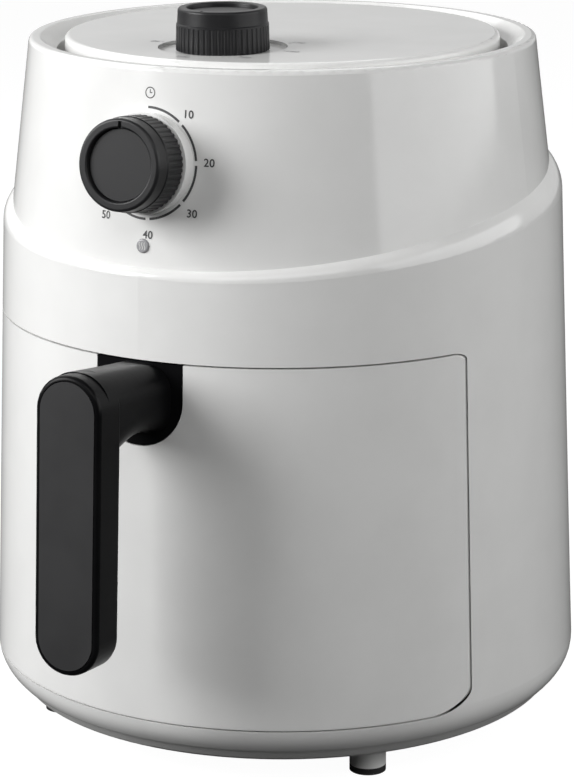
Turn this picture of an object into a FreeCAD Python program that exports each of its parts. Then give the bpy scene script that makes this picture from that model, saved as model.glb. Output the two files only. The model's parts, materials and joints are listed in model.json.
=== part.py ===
"""A round air fryer with a pull-out drawer, two turning dials and the pieces inside it.

Lengths are millimetres.  The part stands on z = 0 and its front faces -Y.  Pieces are drawn
round the body's upright axis, and axis_y carries them to the middle of the whole part's box.
"""
import FreeCAD, Part
import Sketcher
import math
import os
import re

Vector = FreeCAD.Vector

# Sizes that drive the part: name, value, what it is
SIZES = [
    ("foot_height", 12.0, "floor to the underside of the base"),
    ("foot_radius", 8.2, "radius of a foot"),
    ("foot_inset", 16.5, "edge of the base in to the middle of a foot"),
    ("foot_angle", 41.5, "turn of a foot from the line across the part"),
    ("pad_thickness", 3.0, "rubber pad under a foot"),
    ("base_height", 8.2, "base band below the housing seam"),
    ("sill_height", 10.8, "housing band below the drawer"),
    ("drawer_height", 162.0, "drawer front, lower to upper edge"),
    ("crown_height", 123.5, "drawer's upper edge to the rim"),
    ("sill_radius", 136.4, "housing at its widest, the drawer's lower edge"),
    ("seam_inset", 5.4, "widest part in to the base seam"),
    ("base_inset", 6.5, "base seam in to the base's lower edge"),
    ("waist_inset", 6.4, "widest part in to the drawer's upper edge"),
    ("rim_inset", 15.4, "drawer's upper edge in to the rim"),
    ("wall", 2.5, "moulded wall"),
    ("seam_gap", 0.8, "gap round the drawer front"),
    ("ledge_front", 38.0, "sloping ledge above the drawer, at the front"),
    ("ledge_back", 86.0, "sloping ledge above the drawer, at the back"),
    ("ledge_round_front", 3.5, "rounding of the ledge at the front"),
    ("ledge_round_back", 24.0, "rounding of the ledge at the back"),
    ("drawer_half_angle", 66.0, "half the angle that the drawer front spans"),
    ("panel_top_round", 3.5, "upper corners of the drawer front"),
    ("panel_low_round", 10.0, "lower corners of the drawer front"),
    ("rim_width", 5.0, "flat rim round the top"),
    ("funnel_width", 7.6, "slope between the flat rim and the slot"),
    ("slot_width", 3.5, "slot round the top cover"),
    ("funnel_depth", 5.5, "slope from the rim down to the slot"),
    ("deck_drop", 14.0, "rim down to the deck"),
    ("deck_width", 18.0, "deck from the slot in to its hole"),
    ("cover_thickness", 3.0, "top cover plate"),
    ("dish_radius", 28.5, "shallow dish round the temperature knob"),
    ("dish_depth", 1.5, "depth of that dish"),
    ("temperature_inset", 44.2, "edge of the top cover in to the middle of its knob"),
    ("dial_rise", 83.2, "timer dial above the drawer's upper edge"),
    ("boss_radius", 21.6, "round boss behind the timer knob"),
    ("boss_proud", 4.4, "how far that boss stands out"),
    ("boss_root", 7.0, "wall's face in to the back of that boss"),
    ("knob_radius", 20.6, "knob at its base"),
    ("knob_height", 18.6, "knob, base to ring"),
    ("knob_ring", 3.9, "width of the ring round a knob's face"),
    ("shaft_radius", 3.0, "dial and fan shafts"),
    ("shaft_seat", 12.0, "dial shafts inside their controls"),
    ("timer_depth", 28.0, "timer case behind the boss"),
    ("bell_depth", 6.0, "bell behind the timer case"),
    ("bell_wall", 1.4, "sheet of the bell"),
    ("thermostat_width", 34.0, "thermostat case, across"),
    ("thermostat_length", 24.0, "thermostat case, front to back"),
    ("thermostat_height", 16.0, "thermostat case"),
    ("lens_drop", 35.2, "indicator lens below the timer dial"),
    ("lens_radius", 3.0, "indicator lens"),
    ("lens_proud", 0.8, "indicator lens in front of the wall"),
    ("lamp_length", 14.0, "indicator lamp behind its lens"),
    ("bay_inset", 19.0, "drawer's upper edge in to the bay wall"),
    ("liner_wall", 1.6, "wall of the drawer bay"),
    ("liner_rise", 3.0, "bay floor above the drawer's lower edge"),
    ("runner_height", 4.0, "runners on the bay floor"),
    ("pan_inset", 7.0, "bay wall in to the pan under its rim"),
    ("pan_wall", 1.5, "pan wall"),
    ("pan_drop", 9.0, "pan rim below the drawer's upper edge"),
    ("pan_flange", 6.0, "width of the pan's rim flange"),
    ("plate_rise", 12.0, "crisper plate above the pan floor"),
    ("plate_thickness", 1.6, "crisper plate"),
    ("shield_height", 44.0, "heating chamber above the bay"),
    ("shield_wall", 1.2, "sheet of the heating chamber"),
    ("heater_tube", 3.2, "radius of the heater tube"),
    ("heater_inset", 16.0, "pan wall in to the heater's outer turn"),
    ("heater_pitch", 16.0, "step from turn to turn of the heater"),
    ("bush_height", 8.0, "ceramic bush of the heater"),
    ("heater_end", 6.0, "heater's end above its bush"),
    ("fan_inset", 41.0, "heater's outer turn in to the edge of the convection fan"),
    ("fan_height", 16.0, "convection fan blades"),
    ("motor_radius", 32.0, "fan motor"),
    ("motor_height", 28.0, "fan motor"),
    ("bracket_height", 21.0, "motor bracket above the heating chamber"),
    ("grip_length", 128.5, "handle grip, end to end"),
    ("grip_width", 31.4, "handle grip"),
    ("grip_depth", 17.3, "handle grip, front to back"),
    ("grip_standoff", 52.5, "widest part out to the front of the grip, at mid height"),
    ("grip_drop", 58.7, "middle of the grip below the drawer's upper edge"),
    ("grip_tilt", 3.5, "lean of the grip"),
    ("grip_round", 2.0, "edges of the grip"),
    ("root_width", 42.0, "root plate of the handle"),
    ("root_height", 36.7, "root plate of the handle"),
    ("neck_width", 32.0, "neck of the handle at its root"),
    ("neck_height", 31.5, "neck of the handle at its root"),
    ("neck_drop", 1.5, "top of the neck's root below the drawer's upper edge"),
    ("neck_rise", 5.2, "top of the neck at the grip above that edge"),
    ("neck_depth", 44.0, "neck at the grip, top to bottom"),
    ("neck_length", 47.0, "neck from the drawer front to the grip"),
    ("neck_round", 11.0, "corners of the neck at its root"),
    ("grille_width", 76.0, "rear air outlet"),
    ("grille_height", 40.0, "rear air outlet"),
    ("grille_rise", 14.0, "rear air outlet above the drawer's upper edge"),
    ("gland_radius", 8.0, "cord gland in the wall"),
    ("gland_bore", 3.6, "radius of the cord gland's bore"),
    ("gland_height", 48.0, "cord gland above the floor"),
    ("gland_proud", 4.0, "cord gland behind the wall"),
    ("gland_depth", 12.0, "cord gland inside the wall"),
    ("terminal_width", 32.0, "terminal block"),
    ("terminal_height", 10.0, "terminal block"),
    ("switch_width", 18.0, "drawer switch, across"),
    ("switch_height", 16.0, "drawer switch"),
    ("switch_depth", 8.0, "drawer switch, front to back"),
    ("switch_drop", 40.0, "foot of the switch below the drawer's upper edge"),
    ("running_gap", 0.05, "radial clearance of a turning shaft"),
    ("seat_gap", 0.3, "clearance of a piece on its seat"),
    ("screw_radius", 2.0, "shank of a screw"),
    ("screw_head", 3.6, "head of a screw"),
]

# Places that follow from the sizes
PLACES = [
    ("seam_radius", "sill_radius - seam_inset"),
    ("base_radius", "seam_radius - base_inset"),
    ("foot_circle", "base_radius - foot_inset"),
    ("waist_radius", "sill_radius - waist_inset"),
    ("rim_radius", "waist_radius - rim_inset"),
    ("slot_radius", "rim_radius - rim_width - funnel_width"),
    ("cover_radius", "slot_radius - slot_width"),
    ("temperature_forward", "cover_radius - temperature_inset"),
    ("deck_hole_radius", "slot_radius - deck_width"),
    ("liner_half_width", "waist_radius - bay_inset"),
    ("pan_radius", "liner_half_width - pan_inset"),
    ("heater_circle", "pan_radius - heater_inset"),
    ("fan_radius", "heater_circle - fan_inset"),
    ("grip_reach", "sill_radius + grip_standoff"),
    ("base_top", "foot_height + base_height"),
    ("sill_z", "base_top + sill_height"),
    ("lintel_z", "sill_z + drawer_height"),
    ("rim_z", "lintel_z + crown_height"),
    ("low_slope", "(sill_radius - waist_radius) / drawer_height"),
    ("crown_slope", "(waist_radius - rim_radius) / crown_height"),
    ("crown_tilt", "atan(crown_slope) / 1 deg"),
    ("ledge_mid", "lintel_z + (ledge_front + ledge_back) / 2"),
    ("ledge_half", "(ledge_back - ledge_front) / 2"),
    ("deck_z", "rim_z - deck_drop"),
    ("cover_z", "rim_z + 0.6"),
    ("dish_z", "cover_z - dish_depth"),
    ("dial_z", "lintel_z + dial_rise"),
    ("dial_y", "waist_radius - crown_slope * dial_rise"),
    ("liner_z", "sill_z + liner_rise"),
    ("pan_z", "liner_z + runner_height + seat_gap"),
    ("pan_rim_z", "lintel_z - pan_drop"),
    ("plate_z", "pan_z + pan_wall + plate_rise"),
    ("shield_z", "lintel_z + 4"),
    ("shield_top", "shield_z + shield_height"),
    ("heater_z", "shield_z + 9"),
    ("fan_z", "heater_z + heater_tube + 5"),
    ("bracket_z", "shield_top + bracket_height"),
    ("grip_z", "lintel_z - grip_drop"),
    ("grip_front", "grip_reach + grip_length / 2 * sin(grip_tilt)"),
    ("gland_y", "sill_radius + low_slope * (sill_z - gland_height)"),
    ("axis_y", "(grip_front - gland_y - gland_proud) / 2"),
]

doc = FreeCAD.newDocument("air_fryer")
dims = doc.addObject("Spreadsheet::Sheet", "Dims")
places = doc.addObject("Spreadsheet::Sheet", "Places")
owner = {}


def full(expression):
    """The expression with each size or place named together with its sheet."""
    return re.sub(r"[a-z][a-z_]*", lambda word: owner.get(word[0], "") + word[0], expression)


def number(expression):
    """The value of an expression, in millimetres or degrees."""
    value = dims.evalExpression(full(expression))
    return float(getattr(value, "Value", value))


for row, (name, value, note) in enumerate(SIZES, 1):
    dims.set(f"A{row}", name)
    dims.set(f"B{row}", str(value))
    dims.set(f"C{row}", note)
    dims.setAlias(f"B{row}", name)
    owner[name] = "Dims."
doc.recompute()
for row, (name, formula) in enumerate(PLACES, 1):
    places.set(f"A{row}", name)
    places.set(f"B{row}", "=" + full(formula))
    places.setAlias(f"B{row}", name)
    owner[name] = "Places."
    doc.recompute()

nodes = {}


def bind(item, path, expression):
    item.setExpression(path, full(expression))


def new_body(name):
    return doc.addObject("PartDesign::Body", name)


def new_sketch(body, plane, offset="0"):
    """A sketch on one of the body's own planes, moved along that plane's normal."""
    sketch = body.newObject("Sketcher::SketchObject", "Sketch")
    support = [item for item in body.Origin.OriginFeatures if item.Role == plane][0]
    sketch.AttachmentSupport = [(support, "")]
    sketch.MapMode = "FlatFace"
    bind(sketch, ".AttachmentOffset.Base.z", offset)
    return sketch


def pin(sketch, item, spot, across, up):
    """Hold one point of a sketch at two expressions."""
    for kind, axis, expression in (("DistanceX", -2, across), ("DistanceY", -1, up)):
        if expression == "0":
            sketch.addConstraint(Sketcher.Constraint("PointOnObject", item, spot, axis))
            continue
        rule = Sketcher.Constraint(kind, -1, 1, item, spot, number(expression))
        index = sketch.addConstraint(rule)
        bind(sketch, f"Constraints[{index}]", expression)


def draw_circle(sketch, across, up, radius):
    middle = Vector(number(across), number(up), 0)
    item = sketch.addGeometry(Part.Circle(middle, Vector(0, 0, 1), number(radius)))
    pin(sketch, item, 3, across, up)
    index = sketch.addConstraint(Sketcher.Constraint("Radius", item, number(radius)))
    bind(sketch, f"Constraints[{index}]", radius)


def add_arc(sketch, corner, to_last, to_next, radius):
    """An arc that rounds a corner; gives its number and its entry and exit ends."""
    half = to_last.getAngle(to_next) / 2
    inward = (to_last + to_next).normalize()
    middle = corner + inward * (radius / math.sin(half))
    entry = corner + to_last * (radius / math.tan(half)) - middle
    leave = corner + to_next * (radius / math.tan(half)) - middle
    first = math.atan2(entry.y, entry.x)
    last = math.atan2(leave.y, leave.x)
    turns_left = entry.cross(leave).z > 0
    circle = Part.Circle(middle, Vector(0, 0, 1), radius)
    if turns_left:
        return sketch.addGeometry(Part.ArcOfCircle(circle, first, last)), 1, 2
    return sketch.addGeometry(Part.ArcOfCircle(circle, last, first)), 2, 1


def draw_outline(sketch, corners):
    """A closed outline through corners (across, up) or (across, up, rounding)."""
    count = len(corners)
    spots = [Vector(number(corner[0]), number(corner[1]), 0) for corner in corners]
    rounds = [number(corner[2]) if len(corner) > 2 else 0 for corner in corners]
    backs = [(spots[i - 1] - spots[i]).normalize() for i in range(count)]
    aheads = [(spots[(i + 1) % count] - spots[i]).normalize() for i in range(count)]
    reaches = [0] * count
    for i in range(count):
        if rounds[i]:
            reaches[i] = rounds[i] / math.tan(backs[i].getAngle(aheads[i]) / 2)
    lines = []
    for i in range(count):
        after = (i + 1) % count
        start = spots[i] + aheads[i] * reaches[i]
        end = spots[after] + backs[after] * reaches[after]
        lines.append(sketch.addGeometry(Part.LineSegment(start, end)))
    for i, corner in enumerate(corners):
        before, after = lines[i - 1], lines[i]
        if not rounds[i]:
            sketch.addConstraint(Sketcher.Constraint("Coincident", before, 2, after, 1))
            pin(sketch, after, 1, corner[0], corner[1])
            continue
        arc, entry, leave = add_arc(sketch, spots[i], backs[i], aheads[i], rounds[i])
        sketch.addConstraint(Sketcher.Constraint("Tangent", before, 2, arc, entry))
        sketch.addConstraint(Sketcher.Constraint("Tangent", arc, leave, after, 1))
        mark = sketch.addGeometry(Part.Point(spots[i]), True)
        sketch.addConstraint(Sketcher.Constraint("PointOnObject", mark, 1, before))
        sketch.addConstraint(Sketcher.Constraint("PointOnObject", mark, 1, after))
        pin(sketch, mark, 1, corner[0], corner[1])
        index = sketch.addConstraint(Sketcher.Constraint("Radius", arc, rounds[i]))
        bind(sketch, f"Constraints[{index}]", corner[2])


def box_corners(half_across, low, high, rounding=None):
    """Corners of an upright rectangle that is centred across."""
    ends = [(f"-({half_across})", low), (half_across, low)]
    ends += [(half_across, high), (f"-({half_across})", high)]
    if rounding:
        return [end + (rounding,) for end in ends]
    return ends


def feature(body, kind, sketch):
    item = body.newObject("PartDesign::" + kind, kind)
    item.Profile = sketch
    return item


def revolve(body, corners, angle="360", plane="XZ_Plane"):
    sketch = new_sketch(body, plane)
    draw_outline(sketch, corners)
    item = feature(body, "Revolution", sketch)
    item.ReferenceAxis = (sketch, ["V_Axis"])
    bind(item, "Angle", angle)
    return item


def pad(body, sketch, length, back=False, middle=False):
    item = feature(body, "Pad", sketch)
    bind(item, "Length", length)
    item.Reversed = back
    if middle:
        item.SideType = "Symmetric"
    return item


def pocket(body, sketch, length, back=False, middle=False):
    item = feature(body, "Pocket", sketch)
    bind(item, "Length", length)
    item.Reversed = back
    if middle:
        item.SideType = "Symmetric"
    return item


def pad_circles(body, offset, spots, radius, length):
    """Pads of one radius at several spots, upward from a height."""
    sketch = new_sketch(body, "XY_Plane", offset)
    for across, up in spots:
        draw_circle(sketch, across, up, radius)
    return pad(body, sketch, length)


def hole_circles(body, offset, spots, radius, depth):
    """Holes of one radius at several spots, downward from a height."""
    sketch = new_sketch(body, "XY_Plane", offset)
    for across, up in spots:
        draw_circle(sketch, across, up, radius)
    return pocket(body, sketch, depth)


def spread(body, item, count):
    """Repeat a feature round the body's upright axis."""
    pattern = body.newObject("PartDesign::PolarPattern", "PolarPattern")
    pattern.Originals = [item]
    upright = [line for line in body.Origin.OriginFeatures if line.Role == "Z_Axis"][0]
    pattern.Axis = (upright, [""])
    pattern.Angle = 360
    pattern.Occurrences = count
    body.Tip = pattern
    return pattern


def ring_spots(circle, degrees):
    """Spots on a circle, as pairs of expressions."""
    return [(f"({circle}) * cos({turn})", f"({circle}) * sin({turn})") for turn in degrees]


def join(name, base, *tools):
    item = doc.addObject("Part::MultiFuse", name)
    item.Shapes = [base] + list(tools)
    return item


def cut(name, base, tool):
    item = doc.addObject("Part::Cut", name)
    item.Base = base
    item.Tool = tool
    return item


def common(name, base, tool):
    item = doc.addObject("Part::Common", name)
    item.Base = base
    item.Tool = tool
    return item


def in_dial_frame(item, out="0", on_axis=True):
    """Stand a piece on the timer dial: its +Z points out of the sloping wall."""
    item.Placement.Rotation = FreeCAD.Rotation(Vector(1, 0, 0), 90 - number("crown_tilt"))
    shift = "axis_y" if on_axis else "0"
    bind(item, ".Placement.Base.y", f"{shift} - dial_y - ({out}) * cos(crown_tilt)")
    bind(item, ".Placement.Base.z", f"dial_z + ({out}) * sin(crown_tilt)")
    bind(item, ".Placement.Rotation.Angle", "90 - crown_tilt")


def in_grip_frame(item, on_axis=True):
    """Lay a piece on the grip: its +Z points out of the grip's front."""
    item.Placement.Rotation = FreeCAD.Rotation(Vector(1, 0, 0), 90 - number("grip_tilt"))
    shift = "axis_y" if on_axis else "0"
    bind(item, ".Placement.Base.y", f"{shift} - grip_reach")
    bind(item, ".Placement.Base.z", "grip_z")
    bind(item, ".Placement.Rotation.Angle", "90 - grip_tilt")


def keep(name, item, placed=False):
    """Make an object one of the part's own pieces, standing on the body's axis."""
    item.Label = name
    if not placed:
        bind(item, ".Placement.Base.y", "axis_y")
    nodes[name] = item
    return item


LOW_WALL = "sill_radius + low_slope * (sill_z - ({z}))"
CROWN_WALL = "waist_radius - crown_slope * (({z}) - lintel_z)"


def low_wall(height):
    """Radius of the lower housing at a height."""
    return LOW_WALL.format(z=height)


def crown_wall(height):
    """Radius of the upper housing at a height."""
    return CROWN_WALL.format(z=height)


# Lower housing: one half is turned, cut by the sloping ledge and rounded, then mirrored

ledge_limit = "lintel_z + ledge_back + 8"
half = new_body("lower_half")
revolve(half, [
    ("0", "base_top"),
    ("seam_radius", "base_top"),
    (low_wall("sill_z - 5"), "sill_z - 5", "17"),
    (low_wall(ledge_limit), ledge_limit),
    ("0", ledge_limit),
], "180", "YZ_Plane")
ledge_sketch = new_sketch(half, "YZ_Plane")
draw_outline(ledge_sketch, [
    ("-1.2 * waist_radius", "ledge_mid - 1.2 * ledge_half"),
    ("1.2 * waist_radius", "ledge_mid + 1.2 * ledge_half"),
    ("1.2 * waist_radius", "rim_z + 40"),
    ("-1.2 * waist_radius", "rim_z + 40"),
])
pocket(half, ledge_sketch, "4 * waist_radius", middle=True)
doc.recompute()


def is_ledge_edge(edge):
    """The curved edge where the sloping ledge meets the outside."""
    slope = number("ledge_half / waist_radius")
    level = number("ledge_mid")
    points = edge.discretize(7)
    on_plane = all(abs(point.z - level - slope * point.y) < 0.01 for point in points)
    return on_plane and abs(points[3].x) > number("waist_radius / 2")


rounded_half = doc.addObject("Part::Fillet", "rounded_half")
rounded_half.Base = half
for index, edge in enumerate(half.Shape.Edges, 1):
    if is_ledge_edge(edge):
        radii = [number("ledge_round_front"), number("ledge_round_back")]
        if edge.valueAt(edge.FirstParameter).y > 0:
            radii.reverse()
        rounded_half.Edges = [(index, radii[0], radii[1])]
other_half = doc.addObject("Part::Mirroring", "other_half")
other_half.Source = rounded_half
other_half.Normal = Vector(1, 0, 0)
lower = join("lower_solid", rounded_half, other_half)

# Upper housing with its rim, funnel and deck, then the hollow inside both

crown = new_body("crown")
revolve(crown, [
    ("0", "lintel_z - 3"),
    (crown_wall("lintel_z + 0.5") + " - 1.5", "lintel_z - 3"),
    (crown_wall("lintel_z + 0.5") + " - 0.02", "lintel_z + 0.5"),
    ("rim_radius", "rim_z", "2.2"),
    ("rim_radius - rim_width", "rim_z", "1.2"),
    ("slot_radius", "rim_z - funnel_depth", "0.8"),
    ("slot_radius", "deck_z"),
    ("0", "deck_z"),
])
hollow = new_body("hollow")
revolve(hollow, [
    ("0", "base_top - 2"),
    ("seam_radius - wall", "base_top - 2"),
    ("seam_radius - wall", "base_top + 0.5"),
    (low_wall("sill_z") + " - wall", "sill_z"),
    ("waist_radius - wall", "lintel_z"),
    (crown_wall("deck_z - wall") + " - wall", "deck_z - wall"),
    ("deck_hole_radius", "deck_z - wall"),
    ("deck_hole_radius", "deck_z + 5"),
    ("0", "deck_z + 5"),
])
boss = new_body("dial_boss")
boss_sketch = new_sketch(boss, "XY_Plane", "-boss_root")
draw_circle(boss_sketch, "0", "0", "boss_radius")
pad(boss, boss_sketch, "boss_root + boss_proud")
in_dial_frame(boss, on_axis=False)

shell = cut("shell", join("outer_solid", lower, crown), hollow)

# Openings in the housing


def drawer_prism(name, grow):
    """A long block with the drawer front's outline, grown or shrunk by an amount."""
    body = new_body(name)
    sketch = new_sketch(body, "XZ_Plane", "waist_radius * 0.3")
    wide = "(sill_radius) * sin(drawer_half_angle) + " + grow
    narrow = "(waist_radius) * sin(drawer_half_angle) + " + grow
    draw_outline(sketch, [
        (f"-({wide})", f"sill_z - ({grow})", "panel_low_round"),
        (wide, f"sill_z - ({grow})", "panel_low_round"),
        (narrow, f"lintel_z + {grow}", "panel_top_round"),
        (f"-({narrow})", f"lintel_z + {grow}", "panel_top_round"),
    ])
    pad(body, sketch, "waist_radius")
    return body


opening = drawer_prism("drawer_opening", "0")
dial_bore = new_body("dial_bore")
bore_sketch = new_sketch(dial_bore, "XY_Plane", "-12")
draw_circle(bore_sketch, "0", "0", "shaft_radius + 1")
draw_circle(bore_sketch, "0", "-lens_drop", "lens_radius + 0.1")
pad(dial_bore, bore_sketch, "30")
in_dial_frame(dial_bore, on_axis=False)
rear_cuts = new_body("rear_cuts")
rear_sketch = new_sketch(rear_cuts, "XZ_Plane", "-waist_radius * 0.8")
grille_low = "lintel_z + grille_rise"
draw_outline(rear_sketch, box_corners("grille_width / 2", grille_low,
                                      "lintel_z + grille_rise + grille_height", "5"))
draw_circle(rear_sketch, "0", "gland_height", "gland_radius")
pad(rear_cuts, rear_sketch, "waist_radius", back=True)
holes = join("housing_holes", opening, dial_bore, rear_cuts)
keep("outer_housing", cut("outer_housing", join("bossed_shell", shell, boss), holes))

# Base with its screws, and feet with their pads

CORNERS = [45, 135, 225, 315]
base = new_body("base_plate")
revolve(base, [
    ("0", "foot_height"),
    ("base_radius - 5", "foot_height", "3"),
    ("base_radius + 1", "foot_height + 2.2", "5"),
    ("seam_radius - 0.7", "base_top"),
    ("seam_radius - 0.7 - wall", "base_top"),
    ("base_radius - 3", "foot_height + wall"),
    ("0", "foot_height + wall"),
])
posts = ring_spots("foot_circle * 0.7", CORNERS)
pad_circles(base, "foot_height + 1", posts, "screw_radius * 3",
            "liner_z - liner_wall - foot_height - 1")
hole_circles(base, "liner_z", posts, "screw_radius + 0.1", "liner_z")
slot_sketch = new_sketch(base, "XY_Plane", "foot_height + wall + 1")
draw_outline(slot_sketch, [
    ("base_radius * 0.30", "-2", "1.9"),
    ("base_radius * 0.50", "-2", "1.9"),
    ("base_radius * 0.50", "2", "1.9"),
    ("base_radius * 0.30", "2", "1.9"),
])
slots = pocket(base, slot_sketch, "wall + 3")
spread(base, slots, 24)
keep("base_plate", base)

feet = ring_spots("foot_circle", ["foot_angle", "180 - foot_angle", "180 + foot_angle",
                                  "360 - foot_angle"])
stems = new_body("foot_stems")
pad_circles(stems, "pad_thickness", feet, "foot_radius", "foot_height - pad_thickness")
keep("foot_stems", stems)
pads = new_body("foot_pads")
pad_circles(pads, "0", feet, "foot_radius", "pad_thickness")
keep("foot_pads", pads)


def screws(name, spots, seat, length):
    """Upright screws: the head sits on a height and the shank goes down from it."""
    item = new_body(name)
    pad_circles(item, seat, spots, "screw_head", "screw_radius * 1.2")
    pad_circles(item, f"{seat} - ({length})", spots, "screw_radius", length)
    return keep(name, item)


base_screws = new_body("base_screws")
head = "screw_radius * 1.2"
pad_circles(base_screws, f"foot_height - {head}", posts, "screw_head", head)
pad_circles(base_screws, "foot_height - 0.5", posts, "screw_radius",
            "liner_z - liner_wall - foot_height - 2")
keep("base_screws", base_screws)

# Drawer bay: a tub that is open in front, with a flange on top and two runners on its floor

bay = new_body("drawer_bay")
bay_front = "-waist_radius * 0.44"


def bay_corners(grow, front):
    side = f"liner_half_width + {grow}"
    turn = f"liner_half_width * 0.9 + {grow}"
    return [
        (f"-({side})", front),
        (side, front),
        (side, side, turn),
        (f"-({side})", side, turn),
    ]


bay_outside = new_sketch(bay, "XY_Plane", "liner_z - liner_wall")
draw_outline(bay_outside, bay_corners("liner_wall", bay_front))
pad(bay, bay_outside, "shield_z - liner_z + liner_wall")
bay_flange = new_sketch(bay, "XY_Plane", "shield_z - liner_wall")
draw_outline(bay_flange, bay_corners("7", "-waist_radius * 0.3"))
pad(bay, bay_flange, "liner_wall")
bay_inside = new_sketch(bay, "XY_Plane", "shield_z")
draw_outline(bay_inside, bay_corners("0", "-waist_radius"))
pocket(bay, bay_inside, "shield_z - liner_z")
runner_sketch = new_sketch(bay, "XY_Plane", "liner_z - 0.5")
for side in ("-pan_radius * 0.5", "pan_radius * 0.5"):
    draw_outline(runner_sketch, [
        (f"{side} - 3", "-waist_radius * 0.4"),
        (f"{side} + 3", "-waist_radius * 0.4"),
        (f"{side} + 3", "pan_radius * 0.6"),
        (f"{side} - 3", "pan_radius * 0.6"),
    ])
pad(bay, runner_sketch, "runner_height + 0.5")
keep("drawer_bay", bay)

# Heating chamber with the heater and its bushes

TERMINALS = [("heater_circle", "-heater_tube * 4"),
             ("heater_circle - 2 * heater_pitch", "heater_tube * 4")]
shield = new_body("heating_chamber")
revolve(shield, [
    ("shaft_radius + 2", "shield_top - shield_wall"),
    ("pan_radius - shield_wall", "shield_top - shield_wall", "6"),
    ("pan_radius - shield_wall", "shield_z"),
    ("liner_half_width + 6", "shield_z"),
    ("liner_half_width + 6", "shield_z + shield_wall"),
    ("pan_radius", "shield_z + shield_wall"),
    ("pan_radius", "shield_top", "7"),
    ("shaft_radius + 2", "shield_top"),
])
hole_circles(shield, "shield_top + 1", TERMINALS, "heater_tube + 0.6", "shield_wall + 2")
keep("heating_chamber", shield)


def heater_path():
    """Half turns of shrinking radius in one plane, with both ends bent up."""
    radius = number("heater_circle")
    step = number("heater_pitch") / 2
    level = number("heater_z")
    bend = number("heater_tube * 4")
    top = number("shield_top + bush_height + heater_end")
    up = Vector(0, 0, 1)
    first = Vector(radius, 0, level)
    knee = bend * math.sin(math.radians(45))
    edges = [
        Part.makeLine(Vector(radius, -bend, top), Vector(radius, -bend, level + bend)),
        Part.Arc(Vector(radius, -bend, level + bend),
                 Vector(radius, -knee, level + bend - knee), first).toShape(),
    ]
    middle = 0
    for turn in range(4):
        side = 1 if turn % 2 == 0 else -1
        start = Vector(middle + side * radius, 0, level)
        crest = Vector(middle, side * radius, level)
        end = Vector(middle - side * radius, 0, level)
        edges.append(Part.Arc(start, crest, end).toShape())
        radius -= step
        middle -= side * step
    last = edges[-1].Vertexes[-1].Point
    lift = last + Vector(0, bend, bend)
    edges.append(Part.Arc(last, last + Vector(0, knee, bend - knee), lift).toShape())
    edges.append(Part.makeLine(lift, Vector(lift.x, lift.y, top)))
    return Part.Wire(edges)


path = heater_path()
start = path.OrderedEdges[0]
section = Part.Wire(Part.makeCircle(number("heater_tube"), start.valueAt(start.FirstParameter),
                                    start.tangentAt(start.FirstParameter)))
heater = doc.addObject("Part::Feature", "heater_element")
heater.Shape = path.makePipeShell([section], True, False)
keep("heater_element", heater)

bushes = new_body("heater_bushes")
bush_sketch = new_sketch(bushes, "XY_Plane", "shield_top")
for across, up in TERMINALS:
    draw_circle(bush_sketch, across, up, "heater_tube + 4")
    draw_circle(bush_sketch, across, up, "heater_tube + 0.15")
pad(bushes, bush_sketch, "bush_height")
keep("heater_bushes", bushes)

fuse_body = new_body("thermal_fuse")
pad_circles(fuse_body, "shield_top", ring_spots("pan_radius * 0.72", [160]), "5", "2")
pad_circles(fuse_body, "shield_top + 1", ring_spots("pan_radius * 0.72", [160]), "3.4", "5")
keep("thermal_fuse", fuse_body)

# Fan unit: a motor on its bracket, with one fan in the chamber and one above it


def bladed_wheel(name, low, height, radius, count, hub):
    """A hub with a thin disc on top and upright blades under it."""
    body = new_body(name)
    pad_circles(body, low, [("0", "0")], hub, height)
    pad_circles(body, f"{low} + {height} - 1.2", [("0", "0")], radius, "1.2")
    sketch = new_sketch(body, "XY_Plane", f"{low} + 1.5")
    draw_outline(sketch, [
        (f"{hub} - 1", "-0.6"),
        (f"{radius} - 1.0", f"{radius} * 0.16 - 0.6"),
        (f"{radius} - 1.0", f"{radius} * 0.16 + 0.6"),
        (f"{hub} - 1", "0.6"),
    ])
    spread(body, pad(body, sketch, f"{height} - 2"), count)
    hole_circles(body, f"{low} + {height} + 1", [("0", "0")], "shaft_radius", f"{height} + 2")
    return keep(name, body)


bladed_wheel("convection_fan", "fan_z", "fan_height", "fan_radius", 10, "shaft_radius * 2.7")
bladed_wheel("cooling_fan", "shield_top + 5", "bracket_height - 9", "fan_radius * 0.95", 8,
             "shaft_radius * 2.7")
shaft = new_body("motor_shaft")
pad_circles(shaft, "fan_z - 5", [("0", "0")], "shaft_radius - 0.02",
            "bracket_z + motor_height - fan_z + 5")
keep("motor_shaft", shaft)
nut = new_body("fan_nut")
nut_sketch = new_sketch(nut, "XY_Plane", "fan_z - 4")
draw_outline(nut_sketch, ring_spots("shaft_radius * 2", [0, 60, 120, 180, 240, 300]))
draw_circle(nut_sketch, "0", "0", "shaft_radius")
pad(nut, nut_sketch, "4")
keep("fan_nut", nut)

LEGS = [90, 210, 330]
legs = ring_spots("fan_radius + 15", LEGS)
bracket = new_body("motor_bracket")
revolve(bracket, [
    ("shaft_radius * 3", "bracket_z - 2"),
    ("fan_radius + 21", "bracket_z - 2"),
    ("fan_radius + 21", "bracket_z"),
    ("shaft_radius * 3", "bracket_z"),
])
pad_circles(bracket, "shield_top", legs, "screw_radius * 2.2", "bracket_height - 1")
hole_circles(bracket, "bracket_z + 1", legs, "screw_radius + 0.05", "bracket_height * 0.8")
vent_spots = ring_spots("(motor_radius + fan_radius + 11) / 2", [30])
spread(bracket, hole_circles(bracket, "bracket_z + 1", vent_spots, "6", "4"), 6)
keep("motor_bracket", bracket)
screws("bracket_screws", legs, "bracket_z", "bracket_height * 0.6")

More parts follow.
